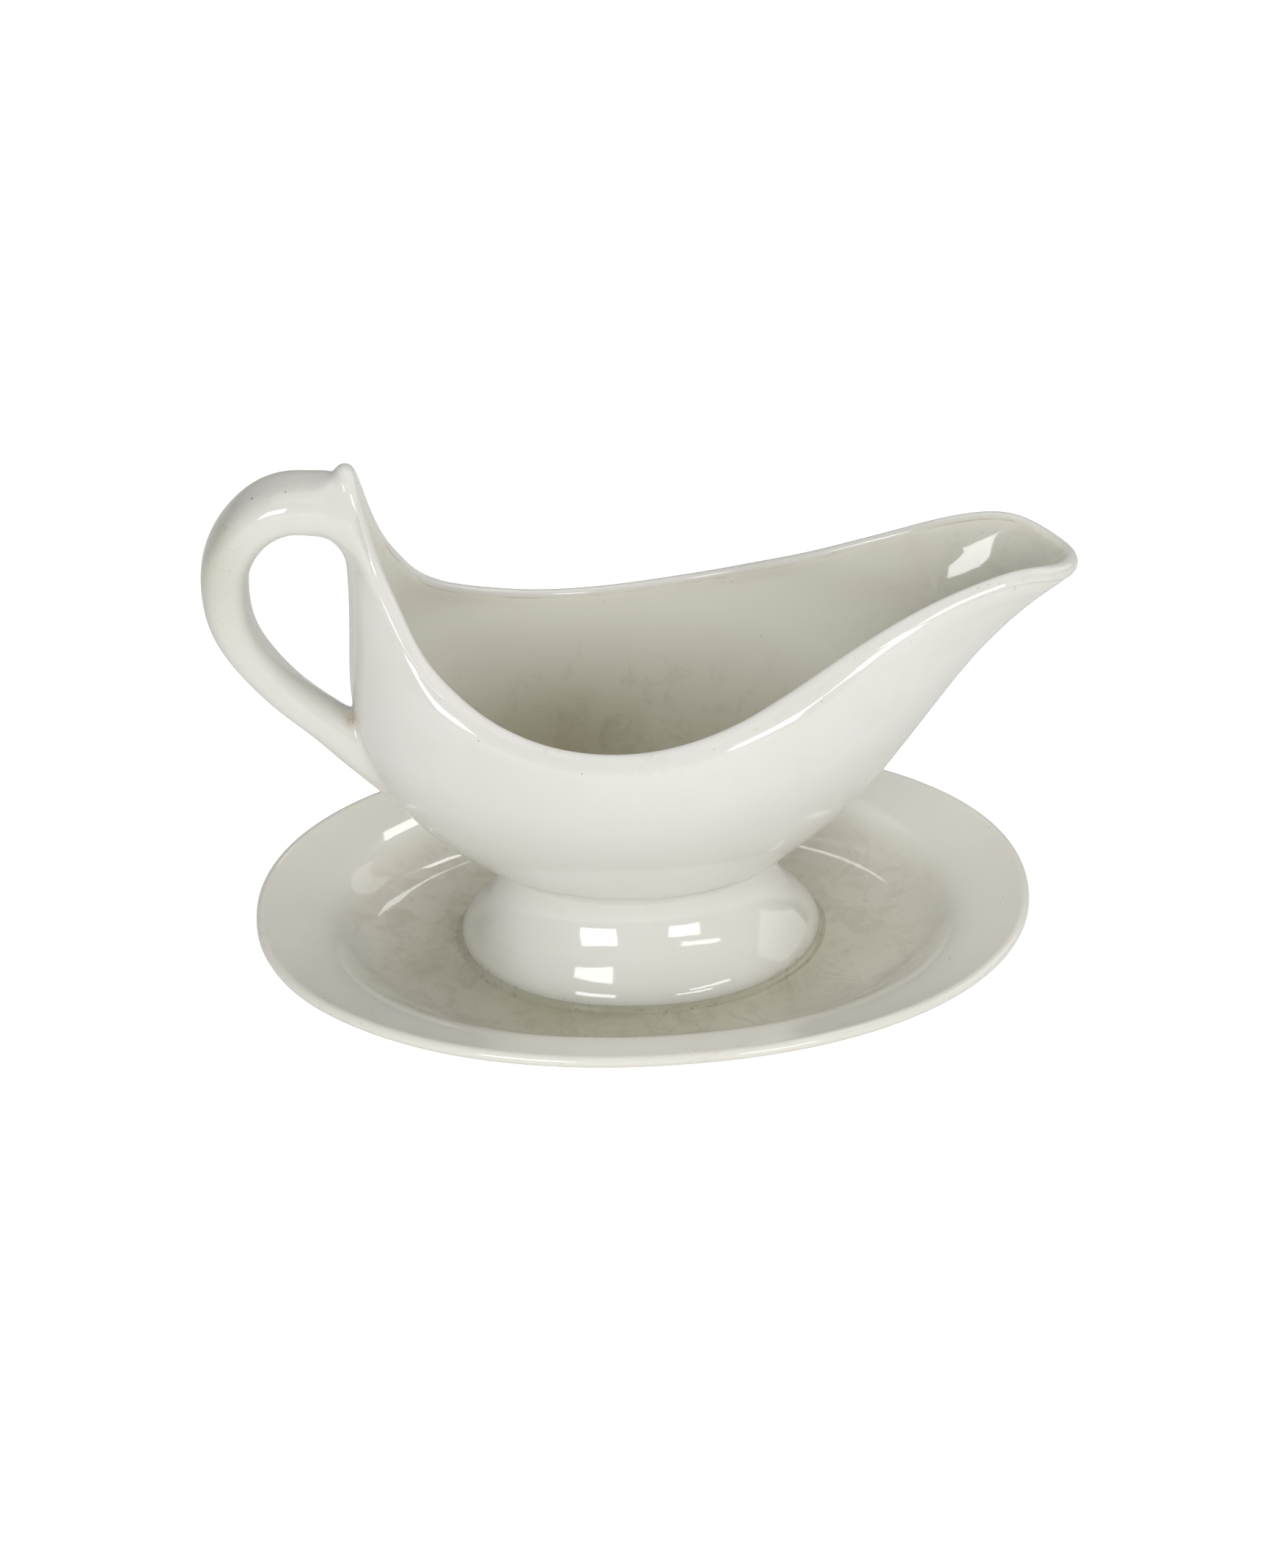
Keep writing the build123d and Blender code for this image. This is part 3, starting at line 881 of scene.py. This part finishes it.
# ---------------------------------------------------------------------- materials
class Nodes:
    """Small helpers to write a node tree as expressions; sizes are in mm."""

    def __init__(self, tree):
        self.tree, self.place = tree, None

    def new(self, kind, **props):
        node = self.tree.nodes.new(kind)
        for key, value in props.items():
            setattr(node, key, value)
        return node

    def plug(self, socket, value):
        if isinstance(value, bpy.types.NodeSocket):
            self.tree.links.new(value, socket)
        else:
            socket.default_value = value

    def math(self, operation, *values, clamp=False):
        node = self.new("ShaderNodeMath", operation=operation, use_clamp=clamp)
        for i, value in enumerate((*values, 0.0, 0.0)[:3]):
            self.plug(node.inputs[i], value)
        return node.outputs[0]

    def times(self, a, b, clamp=False):
        return self.math("MULTIPLY", a, b, clamp=clamp)

    def linear(self, value, scale, offset):
        return self.math("MULTIPLY_ADD", value, scale, offset)

    def ramp(self, value, over, to=(0.0, 1.0)):
        node = self.new("ShaderNodeMapRange", interpolation_type="SMOOTHSTEP")
        for i, item in enumerate((value, *over, *to)):
            self.plug(node.inputs[i], item)
        return node.outputs[0]

    def attr(self, name):
        return self.new("ShaderNodeAttribute", attribute_name=name).outputs["Fac"]

    def mix(self, factor, below, above):
        node = self.new("ShaderNodeMix", data_type="RGBA")
        for i, value in ((0, factor), (6, below), (7, above)):
            self.plug(node.inputs[i], (*value, 1.0) if isinstance(value, tuple) else value)
        return node.outputs[2]

    def shifted(self, shift):
        if self.place is None:
            self.place = self.new("ShaderNodeTexCoord").outputs["Object"]
        if not shift:
            return self.place
        node = self.new("ShaderNodeVectorMath", operation="ADD")
        self.plug(node.inputs[0], self.place)
        node.inputs[1].default_value = (shift * 0.137, shift * 0.071, shift * -0.093)
        return node.outputs[0]

    def noise(self, size, detail=3.0, rough=0.5, shift=0.0, distort=0.0):
        node = self.new("ShaderNodeTexNoise")
        self.plug(node.inputs["Vector"], self.shifted(shift))
        node.inputs["Scale"].default_value = 1000.0 / size
        node.inputs["Detail"].default_value = detail
        node.inputs["Roughness"].default_value = rough
        node.inputs["Distortion"].default_value = distort
        return node.outputs["Fac"]

    def patches(self, over, to=(0.0, 1.0), **noise):
        return self.ramp(self.noise(**noise), over, to)

    def dots(self, cell, radius, chance, shift):
        """Round specks: one candidate per cell, kept with the chance (number or socket)."""
        node = self.new("ShaderNodeTexVoronoi", feature="F1")
        self.plug(node.inputs["Vector"], self.shifted(shift))
        node.inputs["Scale"].default_value = 1000.0 / cell
        node.inputs["Randomness"].default_value = 1.0
        split = self.new("ShaderNodeSeparateColor")
        self.plug(split.inputs[0], node.outputs["Color"])
        size = self.linear(split.outputs[1], 0.8 * radius / cell, 0.35 * radius / cell)
        body = self.math("SUBTRACT", size, node.outputs["Distance"])
        soft = self.times(body, 3.0 * cell / radius, clamp=True)
        keep = self.math("LESS_THAN", split.outputs[0], chance)
        return self.times(soft, keep, clamp=True)


WARM_WHITE = (0.79, 0.775, 0.705)
# Painted light: the inside of the bowl is lighter than the outside, standing in for light
# falling inside it.
BOWL_INSIDE_LIT = (0.85, 0.84, 0.768)
COLOURS = {
    "dark lining": (0.46, 0.43, 0.315), "smear": (0.34, 0.31, 0.22),
    "bare edge": (0.50, 0.42, 0.31), "smudge": (0.44, 0.37, 0.27),
    # grey: a smudge on the handle's grip, and painted shade on the foot's ends
    "grey smudge and shade": (0.56, 0.55, 0.455), "floor glaze": (0.425, 0.405, 0.285),
    "floor dirt": (0.385, 0.355, 0.26), "crease": (0.53, 0.54, 0.46),
    "crust": (0.17, 0.12, 0.075), "stain": (0.42, 0.31, 0.18),
    "tan speck": (0.55, 0.42, 0.26), "iron speck": (0.10, 0.062, 0.036)}


def tinted(nodes, tint):
    """The tint, softly darkened in broad and in small patches."""
    def shade(*factors):
        return tuple(channel * factor for channel, factor in zip(tint, factors))

    broad = nodes.patches(size=46, rough=0.55, over=(0.36, 0.66))
    colour = nodes.mix(broad, tint, shade(0.975, 0.972, 0.955))
    small = nodes.patches(size=9, detail=4, rough=0.6, shift=3, over=(0.42, 0.75), to=(0, 0.5))
    return nodes.mix(small, colour, shade(0.985, 0.975, 0.95))


def bowl_lining(nodes, colour):
    """Painted light: a lighter colour inside. A darker lining and smears where the bowl's dark
    tone lies.
    """
    colour = nodes.mix(nodes.ramp(nodes.attr("inside"), over=(0.6, 1.0)), colour, BOWL_INSIDE_LIT)
    patches = nodes.patches(size=22, detail=4, rough=0.6, shift=23, distort=0.4,
                            over=(0.2, 0.75), to=(0.80, 1.0))
    colour = nodes.mix(nodes.times(nodes.attr("pool"), patches), colour, COLOURS["dark lining"])
    smear = nodes.patches(size=7, detail=6, rough=0.70, shift=33, distort=0.8, over=(0.50, 0.68))
    smear = nodes.times(smear, nodes.attr("pool"))
    return nodes.mix(nodes.times(smear, 0.38), colour, COLOURS["smear"])


def worn_edge_and_smudges(nodes, colour, grime, soil):
    """Warm body showing through thin glaze along the rim, and faint stains."""
    thin = nodes.times(
        nodes.ramp(nodes.attr("line"), over=(0.15, 0.9)),
        nodes.patches(size=13, rough=0.6, shift=5, over=(0.42, 0.66), to=(0.08, 0.52)))
    colour = nodes.mix(thin, colour, COLOURS["bare edge"])
    smudge = nodes.times(
        nodes.patches(size=3.6, detail=6, rough=0.72, shift=9, over=(0.52, 0.70)),
        nodes.patches(size=19, detail=2, shift=11, over=(0.42, 0.64)))
    amount = nodes.linear(grime, scale=0.45, offset=0.03 + soil)
    return nodes.mix(nodes.times(smudge, amount), colour, COLOURS["smudge"])


def floor_soil(nodes, colour):
    """Thick glaze and dirt on the saucer's floor."""
    pool = nodes.attr("pool")
    patches = nodes.patches(size=26, rough=0.55, shift=21, distort=0.3,
                            over=(0.25, 0.75), to=(0.72, 1.0))
    colour = nodes.mix(nodes.times(pool, patches), colour, COLOURS["floor glaze"])
    dirt = nodes.patches(size=8, detail=6, rough=0.68, shift=27, distort=1.2, over=(0.45, 0.64))
    dirt = nodes.times(nodes.times(dirt, pool), 0.50)
    return nodes.mix(dirt, colour, COLOURS["floor dirt"])


def crust_and_stain(nodes, colour, grime):
    """Adds crease, crust and stain; also gives the crust's mask."""
    colour = nodes.mix(nodes.times(nodes.attr("crease"), 0.75), colour, COLOURS["crease"])
    crust = nodes.times(nodes.patches(size=1.7, rough=0.6, shift=15, over=(0.58, 0.70)),
                        nodes.ramp(grime, over=(0.45, 0.95)))
    colour = nodes.mix(nodes.times(crust, 0.55), colour, COLOURS["crust"])
    patches = nodes.patches(size=1.4, detail=4, rough=0.65, shift=35,
                            over=(0.30, 0.62), to=(0.25, 1.0))
    stain = nodes.times(nodes.attr("stain"), patches)
    return nodes.mix(nodes.times(stain, 0.8), colour, COLOURS["stain"]), crust


def specked(nodes, colour, grime):
    """Adds pinholes and iron specks; also gives the dark specks' mask."""
    sparse = nodes.dots(cell=8.5, radius=0.30, chance=0.16, shift=1)
    crowd = nodes.times(nodes.patches(size=17, detail=2, shift=31, over=(0.5, 0.72)),
                        nodes.times(grime, 0.55))
    crowded = nodes.dots(cell=2.4, radius=0.22, chance=crowd, shift=2)
    fine_chance = nodes.linear(grime, scale=0.20, offset=0.012)
    fine = nodes.dots(cell=1.5, radius=0.17, chance=fine_chance, shift=4)
    pale = nodes.dots(cell=7.0, radius=0.50, chance=0.10, shift=6)
    specks = nodes.math("MAXIMUM", nodes.math("MAXIMUM", sparse, crowded), fine)
    colour = nodes.mix(nodes.times(pale, 0.22), colour, COLOURS["tan speck"])
    return nodes.mix(nodes.times(specks, 0.85), colour, COLOURS["iron speck"]), specks


def glaze_skin(nodes, specks):
    """Bump: long soft undulation, faint orange peel, open pinholes."""
    height = nodes.math("ADD", nodes.times(nodes.noise(size=6.5, detail=2, shift=41), 1.0),
                        nodes.times(nodes.noise(size=1.6, detail=2, shift=43), 0.10))
    height = nodes.math("SUBTRACT", height, nodes.times(specks, 0.55))
    bump = nodes.new("ShaderNodeBump")
    bump.inputs["Strength"].default_value = 0.30
    bump.inputs["Distance"].default_value = 0.00012
    nodes.plug(bump.inputs["Height"], height)
    return bump.outputs[0]


def glaze(name, tint, soil=0.0, lining=False, grey_pool=False, soiled_floor=False):
    material = bpy.data.materials.new(name)
    material.use_nodes = True
    inputs = material.node_tree.nodes["Principled BSDF"].inputs
    nodes = Nodes(material.node_tree)
    grime = nodes.attr("grime")
    colour = tinted(nodes, tint)
    if lining:
        colour = bowl_lining(nodes, colour)
    colour = worn_edge_and_smudges(nodes, colour, grime, soil)
    # painted shade on the foot's ends; a grey smudge on the handle's grip
    if grey_pool:
        colour = nodes.mix(nodes.attr("pool"), colour, COLOURS["grey smudge and shade"])
    if soiled_floor:
        colour = floor_soil(nodes, colour)
    colour, crust = crust_and_stain(nodes, colour, grime)
    colour, specks = specked(nodes, colour, grime)
    nodes.plug(inputs["Base Color"], colour)
    gloss = nodes.linear(nodes.noise(size=20, shift=17), scale=0.05, offset=0.035)
    dull = nodes.times(nodes.math("MAXIMUM", specks, crust), 0.4)
    nodes.plug(inputs["Roughness"], nodes.math("ADD", gloss, dull))
    inputs["IOR"].default_value = 1.52
    inputs["Coat Weight"].default_value = 0.35
    inputs["Coat Roughness"].default_value = 0.03
    skin = glaze_skin(nodes, specks)
    nodes.plug(inputs["Normal"], skin)
    nodes.plug(inputs["Coat Normal"], skin)
    return material


# object, the part it stands for, material name, glaze options
for piece, part, slot, options in (
        (bowl, "bowl", "glaze_bowl", dict(tint=(0.755, 0.747, 0.704), lining=True)),
        (handle, "handle", "glaze_handle",
         dict(tint=(0.735, 0.725, 0.68), soil=0.03, grey_pool=True)),
        (foot, "foot", "glaze_foot", dict(tint=(0.775, 0.763, 0.715), grey_pool=True)),
        (seam, "foot_seam", "glaze_seam", dict(tint=WARM_WHITE, soil=0.15, soiled_floor=True)),
        (saucer, "saucer", "glaze_saucer",
         dict(tint=WARM_WHITE, soil=0.04, soiled_floor=True))):
    piece.data.materials.append(glaze(slot, **options))
    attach(piece, "root")
    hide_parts(part)


# -------------------------------------------------------------------------- stage
def studio_floor():
    """A wide matt floor that looks paler to the camera than to the glaze."""
    mesh = bpy.data.meshes.new("studio_floor")
    half = 8.0
    corners = [(-half, -half, 0), (half, -half, 0), (half, half, 0), (-half, half, 0)]
    mesh.from_pydata(corners, [], [(0, 1, 2, 3)])
    floor = add_object("studio_floor", mesh)
    material = bpy.data.materials.new("studio_floor")
    material.use_nodes = True
    nodes = Nodes(material.node_tree)
    inputs = material.node_tree.nodes["Principled BSDF"].inputs
    inputs["Roughness"].default_value = 0.9
    inputs["Specular IOR Level"].default_value = 0.0
    seen = nodes.new("ShaderNodeLightPath").outputs["Is Camera Ray"]
    unseen_colour, seen_colour, seen_glow = (0.86, 0.86, 0.85), (0.50, 0.50, 0.50), 0.80
    nodes.plug(inputs["Base Color"], nodes.mix(seen, unseen_colour, seen_colour))
    inputs["Emission Color"].default_value = (1, 1, 1, 1)
    nodes.plug(inputs["Emission Strength"], nodes.times(seen, seen_glow))
    mesh.materials.append(material)


studio_floor()

LIGHT_DISTANCE = 1.5                     # metres from LIGHT_AIM
LIGHT_AIM = Vector((0, 0, 0.06))


def softbox(name, azimuth, elevation, wide, high, radiance):
    """Rectangular light, wide x high degrees; azimuth 0 is the front, + is to the right."""
    turn, lift = math.radians(azimuth), math.radians(elevation)
    direction = Vector((math.sin(turn) * math.cos(lift), -math.cos(turn) * math.cos(lift),
                        math.sin(lift)))
    light = bpy.data.lights.new(name, "AREA")
    light.shape = "RECTANGLE"
    light.size = 2 * LIGHT_DISTANCE * math.tan(math.radians(wide / 2))
    light.size_y = 2 * LIGHT_DISTANCE * math.tan(math.radians(high / 2))
    light.energy = radiance * light.size * light.size_y * 4.0
    lamp = add_object(name, light)
    lamp.location = LIGHT_AIM + direction * LIGHT_DISTANCE
    lamp.rotation_euler = direction.to_track_quat("Z", "Y").to_euler()
    return lamp


# The light tables hold: name, azimuth, elevation, width, height (degrees), radiance.
# Fills shade the glaze but leave no mirror image in it.
for row in (("fill_left", -26, 22, 24, 30, 3.15),
            ("fill_right", 27, 20, 24, 26, 1.98),
            ("fill_rear_top", 168, 54, 34, 20, 2.1),
            ("fill_front_low", 0, 5, 60, 12, 2.35)):
    softbox(*row).visible_glossy = False

for row in (("top_soft", 0, 82, 60, 60, 0.48),
            ("side_right", 95, 28, 44, 44, 0.95)):
    softbox(*row)

# Glints show only as mirror images, each in the pieces listed at the end of its row.
for *row, receivers in (
        ("panel_left", -21, 14, 18, 18, 5.5, (handle, foot, saucer, seam)),
        ("bowl_left", -40, 12, 15, 14, 5.5, (bowl,)),
        ("panel_right", 23, 11, 16, 13, 5.5, (bowl, foot, saucer, seam)),
        ("panel_rear_low", 172, 43, 9, 4, 2.4, (saucer,)),
        ("panel_rear_high", 137, 65, 10, 7, 5.0, (saucer,)),
        ("foot_left", -26, 44, 16, 5, 5.5, (foot,)),
        ("foot_right", 32, 24, 20, 4, 4.5, (foot,))):
    lamp = softbox(*row)
    lamp.visible_diffuse = False
    group = bpy.data.collections.new(lamp.name + "_on")
    for piece in receivers:
        group.objects.link(piece)
    lamp.light_linking.receiver_collection = group


def studio_world():
    """White to the camera, a grey gradient to everything else."""
    world = bpy.data.worlds.new("studio")
    bpy.context.scene.world = world
    world.use_nodes = True
    nodes = Nodes(world.node_tree)
    background = world.node_tree.nodes["Background"]
    seen = nodes.new("ShaderNodeLightPath").outputs["Is Camera Ray"]
    split = nodes.new("ShaderNodeSeparateXYZ")
    nodes.plug(split.inputs[0], nodes.new("ShaderNodeTexCoord").outputs["Generated"])
    horizon, zenith, white = (0.20, 0.20, 0.20), (0.25, 0.25, 0.25), (1.0, 1.0, 1.0)
    sky = nodes.mix(nodes.ramp(split.outputs[2], over=(0.0, 0.9)), horizon, zenith)
    nodes.plug(background.inputs[0], nodes.mix(seen, sky, white))
    background.inputs[1].default_value = 1.0


studio_world()
bpy.context.scene.view_settings.view_transform = "Standard"

# ------------------------------------------------------------------------- camera
CAMERA_AZIMUTH, CAMERA_ELEVATION, CAMERA_ROLL = np.radians([-2.99, 35.39, -0.92])
CAMERA_DISTANCE = 900.0                  # mm from CAMERA_AIM
CAMERA_AIM = np.array([-1.32, 0.0, 47.5])


def add_camera():
    turn, lift, roll = CAMERA_AZIMUTH, CAMERA_ELEVATION, CAMERA_ROLL
    back = np.array([math.sin(turn) * math.cos(lift), -math.cos(turn) * math.cos(lift),
                     math.sin(lift)])
    level = np.array([math.cos(turn), math.sin(turn), 0.0])
    upright = np.cross(back, level)
    right = math.cos(roll) * level + math.sin(roll) * upright
    up = -math.sin(roll) * level + math.cos(roll) * upright
    data = bpy.data.cameras.new("camera")
    data.sensor_width = 36.0
    data.lens = 80.0547053
    data.clip_start, data.clip_end = 0.05, 50
    camera = add_object("camera", data)
    place = to_world(CAMERA_AIM + CAMERA_DISTANCE * back)
    matrix = np.eye(4)
    matrix[:3] = np.stack([right, up, back, place], -1)
    camera.matrix_world = Matrix(matrix.tolist())
    bpy.context.scene.camera = camera


add_camera()
